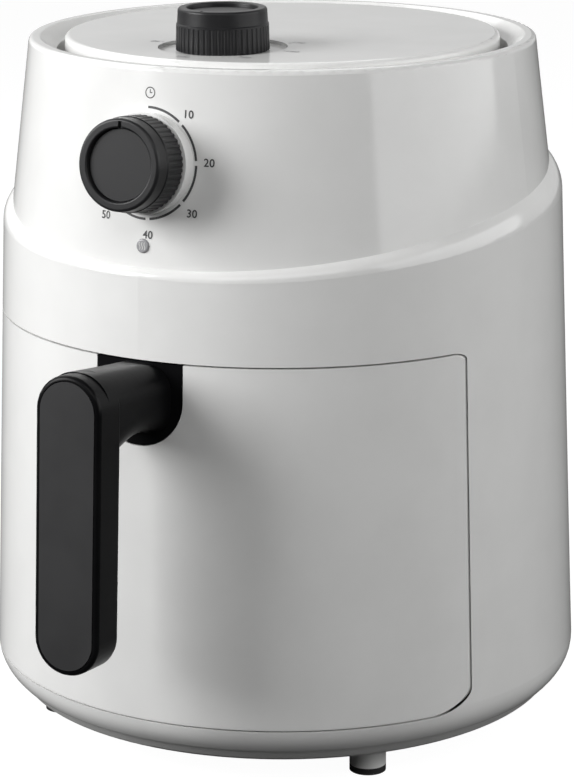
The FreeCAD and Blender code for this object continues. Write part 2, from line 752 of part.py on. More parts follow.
motor = new_body("fan_motor")
revolve(motor, [
    ("shaft_radius + running_gap", "bracket_z"),
    ("motor_radius", "bracket_z", "1"),
    ("motor_radius", "bracket_z + motor_height * 0.3", "1"),
    ("motor_radius * 0.8", "bracket_z + motor_height * 0.3"),
    ("motor_radius * 0.8", "bracket_z + motor_height * 0.7"),
    ("motor_radius", "bracket_z + motor_height * 0.7", "1"),
    ("motor_radius", "bracket_z + motor_height - 4", "3"),
    ("shaft_radius + running_gap", "bracket_z + motor_height"),
])
keep("fan_motor", motor)

# Top cover with the thermostat under it

KNOB_SPOT = [("0", "-temperature_forward")]
cover = new_body("top_cover")
revolve(cover, [
    ("0", "cover_z - cover_thickness"),
    ("deck_hole_radius + 2", "cover_z - cover_thickness"),
    ("deck_hole_radius + 2", "deck_z"),
    ("deck_hole_radius + 5", "deck_z"),
    ("deck_hole_radius + 5", "cover_z - cover_thickness"),
    ("cover_radius - wall", "cover_z - cover_thickness"),
    ("cover_radius - wall", "cover_z - 8"),
    ("cover_radius", "cover_z - 8"),
    ("cover_radius", "cover_z", "2.4"),
    ("0", "cover_z"),
])
hole_circles(cover, "cover_z", KNOB_SPOT, "dish_radius", "dish_depth")
hole_circles(cover, "cover_z + 1", KNOB_SPOT, "shaft_radius + 0.5", "cover_thickness + 2")
keep("top_cover", cover)

thermostat_low = "cover_z - cover_thickness - thermostat_height"
thermostat = new_body("thermostat")
case_sketch = new_sketch(thermostat, "XY_Plane", thermostat_low)
draw_outline(case_sketch, box_corners("thermostat_width / 2",
                                      "-temperature_forward - thermostat_length / 2",
                                      "-temperature_forward + thermostat_length / 2", "2"))
pad(thermostat, case_sketch, "thermostat_height")
hole_circles(thermostat, "cover_z", KNOB_SPOT, "shaft_radius + running_gap",
             "cover_thickness + shaft_seat + 1")
keep("thermostat", thermostat)
thermostat_shaft = new_body("thermostat_shaft")
pad_circles(thermostat_shaft, "cover_z - cover_thickness - shaft_seat", KNOB_SPOT, "shaft_radius",
            "cover_thickness + shaft_seat + knob_height * 0.5")
keep("thermostat_shaft", thermostat_shaft)


def knob(name, place):
    """A fluted cup-shaped knob with a blind bore, drawn with its base at z = 0."""
    body = new_body(name)
    face = "knob_height - 3"
    step = "knob_height * 0.62"
    revolve(body, [
        ("shaft_radius + 0.05", "0"),
        ("shaft_radius * 2", "0"),
        ("shaft_radius * 2", f"{face} - 2"),
        ("knob_radius - 2.6", f"{face} - 2"),
        ("knob_radius - 2.2", "0"),
        ("knob_radius", "0", "0.4"),
        ("knob_radius - 0.3", step),
        ("knob_radius - 0.7", f"{step} + 0.5"),
        ("knob_radius - 1.1", "knob_height", "1.3"),
        ("knob_radius - 1.1 - knob_ring", "knob_height", "0.8"),
        ("knob_radius - 1.4 - knob_ring", face),
        ("0", face),
        ("0", "knob_height * 0.6"),
        ("shaft_radius + 0.05", "knob_height * 0.6"),
    ])
    notch = new_sketch(body, "XY_Plane", "knob_height + 1")
    draw_outline(notch, box_corners("0.9", "knob_radius - 1.2 - knob_ring",
                                    "knob_radius - 2.2"))
    pocket(body, notch, "2.2")
    groove = new_sketch(body, "XY_Plane", f"{step} - 0.6")
    draw_circle(groove, "knob_radius + 0.45", "0", "1.05")
    spread(body, pocket(body, groove, "knob_height"), 48)
    place(body)
    return keep(name, body, placed=True)


def knob_insert(name, place):
    """The disc that lies in a knob's face."""
    body = new_body(name)
    pad_circles(body, "knob_height - 3", [("0", "0")], "knob_radius - 1.7 - knob_ring", "1")
    place(body)
    return keep(name, body, placed=True)


def on_top(item):
    """Place a knob piece on the dish of the top cover, pointer to the front."""
    item.Placement.Rotation = FreeCAD.Rotation(Vector(0, 0, 1), 180)
    bind(item, ".Placement.Base.y", "axis_y - temperature_forward")
    bind(item, ".Placement.Base.z", "dish_z + seat_gap")


def on_dial(item):
    in_dial_frame(item, "boss_proud + seat_gap")


knob("temperature_knob", on_top)
knob_insert("temperature_knob_insert", on_top)
knob("timer_knob", on_dial)
knob_insert("timer_knob_insert", on_dial)

# Timer, its bell and shaft, and the indicator, all set out from the dial

timer = new_body("timer_unit")
pad_circles(timer, "-boss_root - timer_depth", [("0", "0")], "boss_radius + 1.5", "timer_depth")
hole_circles(timer, "0", [("0", "0")], "shaft_radius + running_gap",
             "boss_root + shaft_seat + 1")
in_dial_frame(timer)
keep("timer_unit", timer, placed=True)
bell = new_body("timer_bell")
BELL_TOP = "-boss_root - timer_depth"
BELL_LOW = "-boss_root - timer_depth - bell_depth"
revolve(bell, [
    ("0", BELL_LOW),
    ("boss_radius * 0.8", BELL_LOW, "4"),
    ("boss_radius * 0.8", BELL_TOP),
    ("boss_radius * 0.8 - bell_wall", BELL_TOP),
    ("boss_radius * 0.8 - bell_wall", f"{BELL_LOW} + bell_wall", "2.6"),
    ("screw_radius", f"{BELL_LOW} + bell_wall"),
    ("screw_radius", BELL_TOP),
    ("0", BELL_TOP),
])
in_dial_frame(bell)
keep("timer_bell", bell, placed=True)
timer_shaft = new_body("timer_shaft")
pad_circles(timer_shaft, "-boss_root - shaft_seat", [("0", "0")], "shaft_radius",
            "boss_root + shaft_seat + boss_proud + knob_height * 0.5")
in_dial_frame(timer_shaft)
keep("timer_shaft", timer_shaft, placed=True)
lens = new_body("indicator_lens")
revolve(lens, [
    ("0", "-wall - 1"),
    ("lens_radius", "-wall - 1"),
    ("lens_radius", "lens_proud", "0.7"),
    ("0", "lens_proud"),
])
in_dial_frame(lens)
keep("indicator_lens", lens, placed=True)
bind(lens, ".Placement.Base.y", "axis_y - dial_y - lens_drop * sin(crown_tilt)")
bind(lens, ".Placement.Base.z", "dial_z - lens_drop * cos(crown_tilt)")
lamp = new_body("indicator_lamp")
revolve(lamp, [
    ("0", "-wall - 1 - lamp_length"),
    ("lens_radius + 1.5", "-wall - 1 - lamp_length"),
    ("lens_radius + 1.5", "-wall - 1"),
    ("0", "-wall - 1"),
])
in_dial_frame(lamp)
keep("indicator_lamp", lamp, placed=True)
bind(lamp, ".Placement.Base.y", "axis_y - dial_y - lens_drop * sin(crown_tilt)")
bind(lamp, ".Placement.Base.z", "dial_z - lens_drop * cos(crown_tilt)")

# Rear pieces

grille_block = new_body("grille_block")
grille_sketch = new_sketch(grille_block, "XZ_Plane", "-waist_radius * 0.8")
draw_outline(grille_sketch, box_corners(
    "grille_width / 2 - seat_gap", grille_low + " + seat_gap",
    "lintel_z + grille_rise + grille_height - seat_gap", "4.7"))
pad(grille_block, grille_sketch, "waist_radius", back=True)
grille_band = new_body("grille_band")
revolve(grille_band, [
    (low_wall("lintel_z") + " - wall - 2.5", "lintel_z"),
    (low_wall("lintel_z") + " - 0.6", "lintel_z"),
    (low_wall("lintel_z + ledge_back") + " - 0.6", "lintel_z + ledge_back"),
    (low_wall("lintel_z + ledge_back") + " - wall - 2.5", "lintel_z + ledge_back"),
])
keep("rear_grille", common("rear_grille", grille_band, grille_block))

gland = new_body("cord_gland")
revolve(gland, [
    ("gland_bore", "-gland_depth"),
    ("gland_radius - 0.1", "-gland_depth", "1"),
    ("gland_radius - 0.1", "0.6"),
    ("gland_radius + 3", "0.6"),
    ("gland_radius + 3", "gland_proud", "1.5"),
    ("gland_bore", "gland_proud"),
])
gland.Placement.Rotation = FreeCAD.Rotation(Vector(1, 0, 0), -90)
bind(gland, ".Placement.Base.y", "axis_y + gland_y")
bind(gland, ".Placement.Base.z", "gland_height")
keep("cord_gland", gland, placed=True)

terminals = new_body("terminal_block")
terminal_sketch = new_sketch(terminals, "XY_Plane", "foot_height + wall")
draw_outline(terminal_sketch, box_corners("terminal_width / 2", "base_radius * 0.66",
                                          "base_radius * 0.78"))
pad(terminals, terminal_sketch, "terminal_height")
hole_circles(terminals, "foot_height + wall + terminal_height",
             [("-terminal_width * 0.31", "base_radius * 0.72"), ("0", "base_radius * 0.72"),
              ("terminal_width * 0.31", "base_radius * 0.72")], "screw_radius * 1.2", "4")
keep("terminal_block", terminals)

switch = new_body("drawer_switch")
switch_sketch = new_sketch(switch, "XZ_Plane", "-(liner_half_width + liner_wall)")
draw_outline(switch_sketch, box_corners("switch_width / 2", "lintel_z - switch_drop",
                                        "lintel_z - switch_drop + switch_height", "1"))
pad(switch, switch_sketch, "switch_depth", back=True)
keep("drawer_switch", switch)

# Drawer: white front, frame behind it, pan and handle

front_band = new_body("front_band")
BAND_TOP = "lintel_z + 2"
revolve(front_band, [
    ("seam_radius - wall", "base_top"),
    ("seam_radius", "base_top"),
    (low_wall("sill_z - 5"), "sill_z - 5", "17"),
    (low_wall(BAND_TOP), BAND_TOP),
    (low_wall(BAND_TOP) + " - wall", BAND_TOP),
    (low_wall("sill_z - 5") + " - wall", "sill_z - 5", "15"),
])
panel_block = drawer_prism("panel_block", "-seam_gap")


def root_prism(name, grow):
    """A long block with the U-shaped outline of the handle's root plate."""
    body = new_body(name)
    sketch = new_sketch(body, "XZ_Plane", "waist_radius * 0.7")
    side = f"root_width / 2 + {grow}"
    low = f"lintel_z - seam_gap - root_height - {grow}"
    high = f"lintel_z - seam_gap + {grow} * 8"
    turn = f"root_width / 2 * 0.97 + {grow}"
    draw_outline(sketch, [
        (f"-({side})", low, turn),
        (side, low, turn),
        (side, high),
        (f"-({side})", high),
    ])
    pad(body, sketch, "waist_radius")
    return body


notch_block = root_prism("notch_block", "0.4")
front_piece = common("front_piece", front_band, panel_block)
keep("drawer_front", cut("drawer_front", front_piece, notch_block))

PAN_TOP = "pan_rim_z - pan_wall"
frame_band = new_body("frame_band")
FRAME_LOW = "pan_z + 6"


def frame_wall(height):
    return low_wall(height) + " - wall - seat_gap"


def pan_side(height):
    """Outside radius of the pan at a height."""
    return f"pan_radius * (0.9 + 0.1 * (({height}) - pan_z) / (pan_rim_z - pan_z))"


revolve(frame_band, [
    (pan_side(FRAME_LOW) + " + 0.4", FRAME_LOW),
    (frame_wall(FRAME_LOW), FRAME_LOW),
    (frame_wall(PAN_TOP), PAN_TOP),
    ("pan_radius + 0.4", PAN_TOP),
    ("pan_radius + 0.4", f"{PAN_TOP} - 3"),
    (frame_wall(f"{PAN_TOP} - 3") + " - 2.4", f"{PAN_TOP} - 3"),
    (frame_wall(f"{FRAME_LOW} + 3") + " - 2.4", f"{FRAME_LOW} + 3"),
    (pan_side(f"{FRAME_LOW} + 3") + " + 0.4", f"{FRAME_LOW} + 3"),
])
frame_block = new_body("frame_block")
frame_sketch = new_sketch(frame_block, "XZ_Plane", "waist_radius * 0.42")
draw_outline(frame_sketch, box_corners("liner_half_width - 4", "sill_z", "lintel_z"))
pad(frame_block, frame_sketch, "waist_radius")
frame_holes = new_body("frame_holes")
hole_sketch = new_sketch(frame_holes, "XZ_Plane", "waist_radius * 0.7")
HANDLE_SCREWS = [("-neck_width / 4", "lintel_z - root_height / 2"),
                 ("neck_width / 4", "lintel_z - root_height / 2")]
for across, up in HANDLE_SCREWS:
    draw_circle(hole_sketch, across, up, "screw_radius + 0.1")
pad(frame_holes, hole_sketch, "waist_radius * 0.45")
pan_spots = ring_spots("pan_radius + pan_flange / 2 + 0.6", [245, 270, 295])
frame_screw_holes = new_body("frame_screw_holes")
pad_circles(frame_screw_holes, f"{PAN_TOP} - 12", pan_spots, "screw_radius + 0.1", "14")
frame_piece = common("frame_piece", frame_band, frame_block)
keep("drawer_frame", cut("drawer_frame", frame_piece,
                         join("frame_drill", frame_holes, frame_screw_holes)))

pan = new_body("pan")
revolve(pan, [
    ("0", "pan_z"),
    (pan_side("pan_z"), "pan_z", "9"),
    (pan_side(PAN_TOP), PAN_TOP),
    ("pan_radius + pan_flange", PAN_TOP),
    ("pan_radius + pan_flange", "pan_rim_z", "0.6"),
    (pan_side("pan_rim_z") + " - pan_wall", "pan_rim_z", "0.6"),
    (pan_side("pan_z") + " - pan_wall", "pan_z + pan_wall", "7.5"),
    ("0", "pan_z + pan_wall"),
])
hole_circles(pan, "pan_rim_z + 1", pan_spots, "screw_radius + 0.05", "pan_wall + 2")
keep("pan", pan)
pan_screws = new_body("pan_screws")
pad_circles(pan_screws, "pan_rim_z", pan_spots, "screw_head * 0.7", "1.4")
pad_circles(pan_screws, f"{PAN_TOP} - 2.8", pan_spots, "screw_radius", "pan_wall + 3")
keep("pan_screws", pan_screws)

# Handle: root plate, lofted neck and tilted grip

neck = new_body("handle_neck")


def neck_section(share, waist):
    """One outline of the neck, at a share of its length; waist draws it in a little."""
    side = f"neck_width / 2 + (grip_width - neck_width) / 2 * {share} - {waist}"
    high = f"lintel_z - neck_drop + (neck_drop + neck_rise) * {share}"
    low = f"{high} - neck_height - (neck_depth - neck_height) * {share} * {share} + 3 * {waist}"
    sketch = new_sketch(neck, "XZ_Plane", f"waist_radius - 1 + (neck_length + 1) * {share}")
    draw_outline(sketch, box_corners(side, low, high, f"neck_round + 3 * {share}"))
    return sketch


sections = [neck_section(0, 0), neck_section(0.35, 1), neck_section(0.7, 0.7),
            neck_section(1, 0.4)]
loft = neck.newObject("PartDesign::AdditiveLoft", "AdditiveLoft")
loft.Profile = sections[0]
loft.Sections = sections[1:]


def stadium(sketch, inset):
    """The grip's outline with full round ends, drawn a little smaller by the inset."""
    side = f"grip_width / 2 - ({inset})"
    end = f"grip_length / 2 - ({inset})"
    draw_outline(sketch, box_corners(side, f"-({end})", end, f"({side}) * 0.985"))


grip = new_body("handle_grip")
grip_sketch = new_sketch(grip, "XY_Plane", "-grip_depth")
stadium(grip_sketch, "0")
grip_pad = pad(grip, grip_sketch, "grip_depth")
doc.recompute()
soft = grip.newObject("PartDesign::Fillet", "Fillet")
level_edges = []
for index, edge in enumerate(grip_pad.Shape.Edges, 1):
    if abs(edge.Vertexes[0].Point.z - edge.Vertexes[-1].Point.z) < 0.001:
        level_edges.append(f"Edge{index}")
soft.Base = (grip_pad, level_edges)
bind(soft, "Radius", "grip_round")
inset_sketch = new_sketch(grip, "XY_Plane", "0")
stadium(inset_sketch, "grip_round + 0.1")
pocket(grip, inset_sketch, "1.3")
in_grip_frame(grip, on_axis=False)

root_plate = common("root_plate", front_band, root_prism("root_block", "0"))
handle_solid = join("handle_solid", root_plate, neck, grip)
handle_holes = new_body("handle_holes")
hole_sketch = new_sketch(handle_holes, "XZ_Plane", "waist_radius * 0.8")
for across, up in HANDLE_SCREWS:
    draw_circle(hole_sketch, across, up, "screw_radius + 0.1")
pad(handle_holes, hole_sketch, "waist_radius * 0.2 + 20")
keep("handle_body", cut("handle_body", handle_solid, handle_holes))

insert = new_body("handle_cover")
insert_sketch = new_sketch(insert, "XY_Plane", "-1.2")
stadium(insert_sketch, "grip_round + 0.5")
pad(insert, insert_sketch, "1.5")
in_grip_frame(insert)
keep("handle_cover", insert, placed=True)

handle_screws = new_body("handle_screws")
frame_back = frame_wall("lintel_z - root_height / 2") + " - 2.4 - 0.8"
head_sketch = new_sketch(handle_screws, "XZ_Plane", frame_back)
shank_sketch = new_sketch(handle_screws, "XZ_Plane", frame_back + " - 0.4")
for across, up in HANDLE_SCREWS:
    draw_circle(head_sketch, across, up, "screw_head")
    draw_circle(shank_sketch, across, up, "screw_radius")
pad(handle_screws, head_sketch, "screw_radius * 1.2", back=True)
pad(handle_screws, shank_sketch, "20")
keep("handle_screws", handle_screws)

# Crisper plate with its bumpers

plate_radius = pan_side("plate_z") + " - pan_wall - 2.2"
plate = new_body("crisper_plate")
revolve(plate, [
    ("0", "plate_z"),
    (plate_radius + " - 5", "plate_z"),
    (plate_radius, "plate_z + 5"),
    (plate_radius, "plate_z + 5 + plate_thickness"),
    (plate_radius + " - 1", "plate_z + 5 + plate_thickness"),
    (plate_radius + " - 6", "plate_z + plate_thickness"),
    ("0", "plate_z + plate_thickness"),
])
for circle, count in ((0.16, 6), (0.34, 12), (0.52, 18), (0.70, 24)):
    spots = ring_spots(f"({plate_radius}) * {circle}", [0])
    holes_made = hole_circles(plate, "plate_z + 5", spots, "3.4", "10")
    spread(plate, holes_made, count)
keep("crisper_plate", plate)
bumpers = new_body("crisper_bumpers")
pad_circles(bumpers, "pan_z + pan_wall + seat_gap", ring_spots(f"({plate_radius}) * 0.85", CORNERS),
            "5", "plate_rise - seat_gap")
keep("crisper_bumpers", bumpers)

doc.recompute()

# Every object has to be sound before its shape is written

for item in doc.Objects:
    if "Invalid" in item.State or "Error" in item.State:
        raise RuntimeError(f"{item.Label} did not build: {item.State}")
os.makedirs("parts", exist_ok=True)
for name, item in nodes.items():
    shape = item.Shape
    if shape.isNull() or not shape.isValid() or not shape.Solids:
        raise RuntimeError(f"{name} has no sound solid")
    shape.exportStep(f"parts/{name}.step")
    print(name, len(shape.Solids), round(shape.Volume / 1000, 2), "cm3")
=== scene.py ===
"""Looks for the round air fryer: finishes, dial printing, rear grille, floor, lights and camera.

Lengths are metres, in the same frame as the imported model.  The front faces -Y.
"""
import json
import math

import bpy
from mathutils import Matrix, Vector


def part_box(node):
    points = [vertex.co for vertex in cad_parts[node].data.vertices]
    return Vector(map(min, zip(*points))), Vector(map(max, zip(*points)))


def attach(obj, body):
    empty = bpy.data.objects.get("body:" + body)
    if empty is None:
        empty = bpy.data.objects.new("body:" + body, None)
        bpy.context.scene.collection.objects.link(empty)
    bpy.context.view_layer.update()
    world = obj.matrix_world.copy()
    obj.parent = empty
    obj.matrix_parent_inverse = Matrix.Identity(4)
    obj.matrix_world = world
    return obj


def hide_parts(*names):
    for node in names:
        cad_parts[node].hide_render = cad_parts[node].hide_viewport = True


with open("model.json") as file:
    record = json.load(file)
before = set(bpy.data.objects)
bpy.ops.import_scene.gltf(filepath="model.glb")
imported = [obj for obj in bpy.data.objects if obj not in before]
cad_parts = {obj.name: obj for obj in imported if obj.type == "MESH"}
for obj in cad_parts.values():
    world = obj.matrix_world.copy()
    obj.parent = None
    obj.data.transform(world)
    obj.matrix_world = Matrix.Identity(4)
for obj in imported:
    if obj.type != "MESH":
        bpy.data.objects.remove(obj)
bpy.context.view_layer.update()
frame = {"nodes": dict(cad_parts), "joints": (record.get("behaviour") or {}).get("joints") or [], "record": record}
nodes = frame["nodes"]

# Places on the body, from the joints and pieces of the frame

joints = {joint["name"]: joint for joint in frame["joints"]}
AXIS_Y = joints["fan_turn"]["pos_m"][1]
DIAL_MIDDLE = Vector(joints["timer_turn"]["pos_m"])
DIAL_OUT = -Vector(joints["timer_turn"]["axis"])
DIAL_UP = Vector((0, DIAL_OUT.z, -DIAL_OUT.y))
DIAL_RADIUS = AXIS_Y - DIAL_MIDDLE.y
CROWN_SLOPE = -DIAL_OUT.z / DIAL_OUT.y
COVER_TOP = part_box("top_cover")[1].z
TOP_KNOB = Vector((0, joints["temperature_turn"]["pos_m"][1], COVER_TOP))
PLATE_LEAST, PLATE_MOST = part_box("rear_grille")


# Materials

TINT_START = 0.3
TINT_END = 0.7
CLOUD_DETAIL = 3.0
GRAIN_DETAIL = 2.0
GRAIN_STRENGTH = 0.5


def new_material(name):
    """A material, with the nodes and links of its tree."""
    material = bpy.data.materials.new(name)
    material.use_nodes = True
    return material, material.node_tree.nodes, material.node_tree.links


def add_noise(tree_nodes, links, scale, detail):
    """Noise in object space, so that it keeps its real size on every piece."""
    place = tree_nodes.new("ShaderNodeTexCoord")
    noise = tree_nodes.new("ShaderNodeTexNoise")
    noise.inputs["Scale"].default_value = scale
    noise.inputs["Detail"].default_value = detail
    links.new(place.outputs["Object"], noise.inputs["Vector"])
    return noise


def add_range(tree_nodes, links, source, low, high):
    """Spread a noise value over a range."""
    spread = tree_nodes.new("ShaderNodeMapRange")
    spread.inputs["To Min"].default_value = low
    spread.inputs["To Max"].default_value = high
    links.new(source, spread.inputs["Value"])
    return spread.outputs["Result"]


def add_tint(tree_nodes, links, source, dark, light):
    """Blend two colours by a noise value."""
    ramp = tree_nodes.new("ShaderNodeValToRGB")
    low, high = ramp.color_ramp.elements
    low.position = TINT_START
    low.color = (*dark, 1)
    high.position = TINT_END
    high.color = (*light, 1)
    links.new(source, ramp.inputs["Fac"])
    return ramp.outputs["Color"]


def add_bump(tree_nodes, links, source, distance):
    """Turn a noise value into relief of a given depth."""
    bump = tree_nodes.new("ShaderNodeBump")
    bump.inputs["Distance"].default_value = distance
    bump.inputs["Strength"].default_value = GRAIN_STRENGTH
    links.new(source, bump.inputs["Height"])
    return bump.outputs["Normal"]


def finish_material(name, dark, light, rough, grain, bump, metallic=0.0, gloss=0.5, cloud=40.0):
    """A surface with cloudy colour, uneven gloss and a fine grain."""
    material, tree_nodes, links = new_material(name)
    shader = tree_nodes["Principled BSDF"]
    cloudy = add_noise(tree_nodes, links, cloud, CLOUD_DETAIL)
    fine = add_noise(tree_nodes, links, grain, GRAIN_DETAIL)
    links.new(add_tint(tree_nodes, links, cloudy.outputs["Fac"], dark, light),
              shader.inputs["Base Color"])
    links.new(add_range(tree_nodes, links, cloudy.outputs["Fac"], rough[0], rough[1]),
              shader.inputs["Roughness"])
    links.new(add_bump(tree_nodes, links, fine.outputs["Fac"], bump), shader.inputs["Normal"])
    shader.inputs["Metallic"].default_value = metallic
    shader.inputs["Specular IOR Level"].default_value = gloss
    return material


FINISHES = {
    "white_shell": finish_material(
        "white_gloss", dark=(0.80, 0.80, 0.79), light=(0.83, 0.83, 0.82),
        rough=(0.10, 0.14), grain=900, bump=0.000002),
    "white_base": finish_material(
        "white_satin", dark=(0.72, 0.72, 0.71), light=(0.76, 0.76, 0.75),
        rough=(0.32, 0.40), grain=1800, bump=0.00001),
    "grey_plastic": finish_material(
        "grey_satin", dark=(0.40, 0.40, 0.41), light=(0.46, 0.46, 0.47),
        rough=(0.40, 0.50), grain=2200, bump=0.00002),
    "rubber_pad": finish_material(
        "black_rubber", dark=(0.012, 0.012, 0.012), light=(0.02, 0.02, 0.02),
        rough=(0.65, 0.80), grain=1500, bump=0.00003),
    "screw_steel": finish_material(
        "zinc_steel", dark=(0.50, 0.50, 0.50), light=(0.62, 0.62, 0.61),
        rough=(0.25, 0.35), grain=2500, bump=0.00001, metallic=1.0),
    "bay_sheet": finish_material(
        "aluminised_sheet", dark=(0.42, 0.42, 0.43), light=(0.52, 0.52, 0.53),
        rough=(0.38, 0.52), grain=700, bump=0.00001, metallic=1.0),
    "chamber_sheet": finish_material(
        "sheet_steel", dark=(0.52, 0.52, 0.52), light=(0.62, 0.61, 0.60),
        rough=(0.28, 0.42), grain=900, bump=0.00001, metallic=1.0),
    "heater_tube": finish_material(
        "heater_steel", dark=(0.16, 0.13, 0.11), light=(0.30, 0.27, 0.25),
        rough=(0.35, 0.50), grain=1200, bump=0.00002, metallic=1.0, cloud=60),
    "ceramic": finish_material(
        "white_ceramic", dark=(0.78, 0.75, 0.69), light=(0.84, 0.82, 0.77),
        rough=(0.30, 0.42), grain=1500, bump=0.00001),
    "control_case": finish_material(
        "dark_case", dark=(0.035, 0.035, 0.038), light=(0.05, 0.05, 0.054),
        rough=(0.45, 0.55), grain=2000, bump=0.00002),
    "bell_metal": finish_material(
        "bell_brass", dark=(0.62, 0.48, 0.24), light=(0.72, 0.58, 0.32),
        rough=(0.22, 0.34), grain=1500, bump=0.00001, metallic=1.0),
    "motor_case": finish_material(
        "cast_alloy", dark=(0.42, 0.42, 0.43), light=(0.52, 0.52, 0.53),
        rough=(0.45, 0.60), grain=1800, bump=0.00004, metallic=1.0),
    "fan_sheet": finish_material(
        "fan_alloy", dark=(0.60, 0.60, 0.61), light=(0.70, 0.70, 0.71),
        rough=(0.25, 0.38), grain=1200, bump=0.00001, metallic=1.0),
    "lens": finish_material(
        "frosted_lens", dark=(0.30, 0.30, 0.31), light=(0.38, 0.38, 0.39),
        rough=(0.18, 0.26), grain=1600, bump=0.00001),
    "black_knob": finish_material(
        "black_satin", dark=(0.011, 0.011, 0.012), light=(0.016, 0.016, 0.017),
        rough=(0.34, 0.42), grain=3200, bump=0.00001, gloss=0.28),
    "knob_face": finish_material(
        "dark_face", dark=(0.014, 0.014, 0.015), light=(0.018, 0.018, 0.019),
        rough=(0.42, 0.50), grain=3600, bump=0.00001, gloss=0.3),
    "black_handle": finish_material(
        "black_gloss", dark=(0.003, 0.003, 0.0035), light=(0.005, 0.005, 0.0055),
        rough=(0.28, 0.36), grain=2600, bump=0.000006, gloss=0.10),
    "handle_face": finish_material(
        "grey_face", dark=(0.026, 0.026, 0.027), light=(0.033, 0.033, 0.034),
        rough=(0.44, 0.52), grain=3600, bump=0.00001, gloss=0.35),
    "black_frame": finish_material(
        "black_matt", dark=(0.014, 0.014, 0.015), light=(0.022, 0.022, 0.023),
        rough=(0.50, 0.62), grain=2200, bump=0.00002),
    "pan_coating": finish_material(
        "nonstick", dark=(0.022, 0.022, 0.024), light=(0.036, 0.036, 0.038),
        rough=(0.30, 0.44), grain=1400, bump=0.00002),
    "silicone": finish_material(
        "black_silicone", dark=(0.016, 0.016, 0.017), light=(0.026, 0.026, 0.027),
        rough=(0.58, 0.72), grain=1500, bump=0.00002),
}
PRINT = finish_material(
    "dial_ink", dark=(0.045, 0.045, 0.047), light=(0.060, 0.060, 0.062),
    rough=(0.45, 0.55), grain=3000, bump=0.000004)
FAINT_PRINT = finish_material(
    "faint_ink", dark=(0.24, 0.24, 0.245), light=(0.30, 0.30, 0.305),
    rough=(0.45, 0.55), grain=3000, bump=0.000004)
PALE_PRINT = finish_material(
    "pale_ink", dark=(0.62, 0.62, 0.61), light=(0.68, 0.68, 0.67),
    rough=(0.40, 0.50), grain=3000, bump=0.000004)

for entry in frame["record"]["subparts"]:
    mesh = nodes[entry["node"]].data
    mesh.materials.clear()
    mesh.materials.append(FINISHES[entry["material_slot"]])


# Printing on the housing, the lens and the top cover

PRINT_LIFT = 0.00006
LENS_DROP = 0.0352
LENS_FACE = 0.00086
WALL_TRIES = 6


def on_crown(across, up):
    """A point of the dial's plane, carried square to that plane onto the sloping wall."""
    point = DIAL_MIDDLE + Vector((across, 0, 0)) + DIAL_UP * up
    for _ in range(WALL_TRIES):
        wall = DIAL_RADIUS - CROWN_SLOPE * (point.z - DIAL_MIDDLE.z)
        reach = math.hypot(point.x, point.y - AXIS_Y)
        point = point - DIAL_OUT * (reach - wall)
    return point + DIAL_OUT * PRINT_LIFT


def on_cover(across, up):
    """A point on the top cover; up leads away from the front, from the knob's middle."""
    return TOP_KNOB + Vector((across, up, PRINT_LIFT))


def on_lens(across, up):
    """A point on the indicator lens's face."""
    face = DIAL_MIDDLE - DIAL_UP * LENS_DROP + DIAL_OUT * LENS_FACE
    return face + Vector((across, 0, 0)) + DIAL_UP * up


def add_piece(name, points, faces, material):
    """A mesh that rides on the housing."""
    mesh = bpy.data.meshes.new(name)
    mesh.from_pydata([tuple(point) for point in points], [], faces)
    mesh.materials.append(material)
    mesh.update()
    piece = bpy.data.objects.new(name, mesh)
    bpy.context.scene.collection.objects.link(piece)
    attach(piece, "housing")
    return piece


STROKE_STEPS = 4
FONT_SIZE = 1.42
FONT_SPACING = 1.04
FONT_WEIGHT = 0.00007
FONT_STEPS = 4


class Print:
    """Flat ink shapes, collected in one piece and laid on a surface."""

    def __init__(self, surface):
        self.surface = surface
        self.points = []
        self.faces = []

    def strip(self, outer, inner):
        """A strip between two rows of flat points."""
        first = len(self.points)
        count = len(outer)
        for spot in outer + inner:
            self.points.append(self.surface(*spot))
        for step in range(count - 1):
            self.faces.append((first + step, first + count + step,
                               first + count + step + 1, first + step + 1))

    def arc(self, middle, radius, width, start, end, steps):
        """Part of a ring; angles are degrees clockwise from the top."""
        rows = []
        for reach in (radius + width / 2, radius - width / 2):
            row = []
            for step in range(steps + 1):
                turn = math.radians(start + (end - start) * step / steps)
                row.append((middle[0] + reach * math.sin(turn),
                            middle[1] + reach * math.cos(turn)))
            rows.append(row)
        self.strip(rows[0], rows[1])

    def line(self, start, end, width):
        """A straight stroke."""
        along = Vector(end) - Vector(start)
        aside = Vector((-along.y, along.x)).normalized() * (width / 2)
        rows = []
        for side in (1, -1):
            row = []
            for step in range(STROKE_STEPS + 1):
                spot = Vector(start) + along * (step / STROKE_STEPS) + aside * side
                row.append((spot.x, spot.y))
            rows.append(row)
        self.strip(rows[0], rows[1])

    def text(self, words, middle, height):
        """Figures of a given height, centred on a spot."""
        curve = bpy.data.curves.new("figures", "FONT")
        curve.body = words
        curve.align_x = "CENTER"
        curve.align_y = "CENTER"
        curve.size = height * FONT_SIZE
        curve.space_character = FONT_SPACING
        curve.resolution_u = FONT_STEPS
        curve.offset = FONT_WEIGHT
        holder = bpy.data.objects.new("figures", curve)
        flat = bpy.data.meshes.new_from_object(holder)
        first = len(self.points)
        for vertex in flat.vertices:
            self.points.append(self.surface(middle[0] + vertex.co.x, middle[1] + vertex.co.y))
        for polygon in flat.polygons:
            self.faces.append(tuple(first + index for index in polygon.vertices))
        bpy.data.objects.remove(holder)
        bpy.data.curves.remove(curve)
        bpy.data.meshes.remove(flat)

    def make(self, name, material):
        """Turn the collected shapes into one piece."""
        return add_piece(name, self.points, self.faces, material)


# Timer scale and clock sign round the front dial; angles are degrees

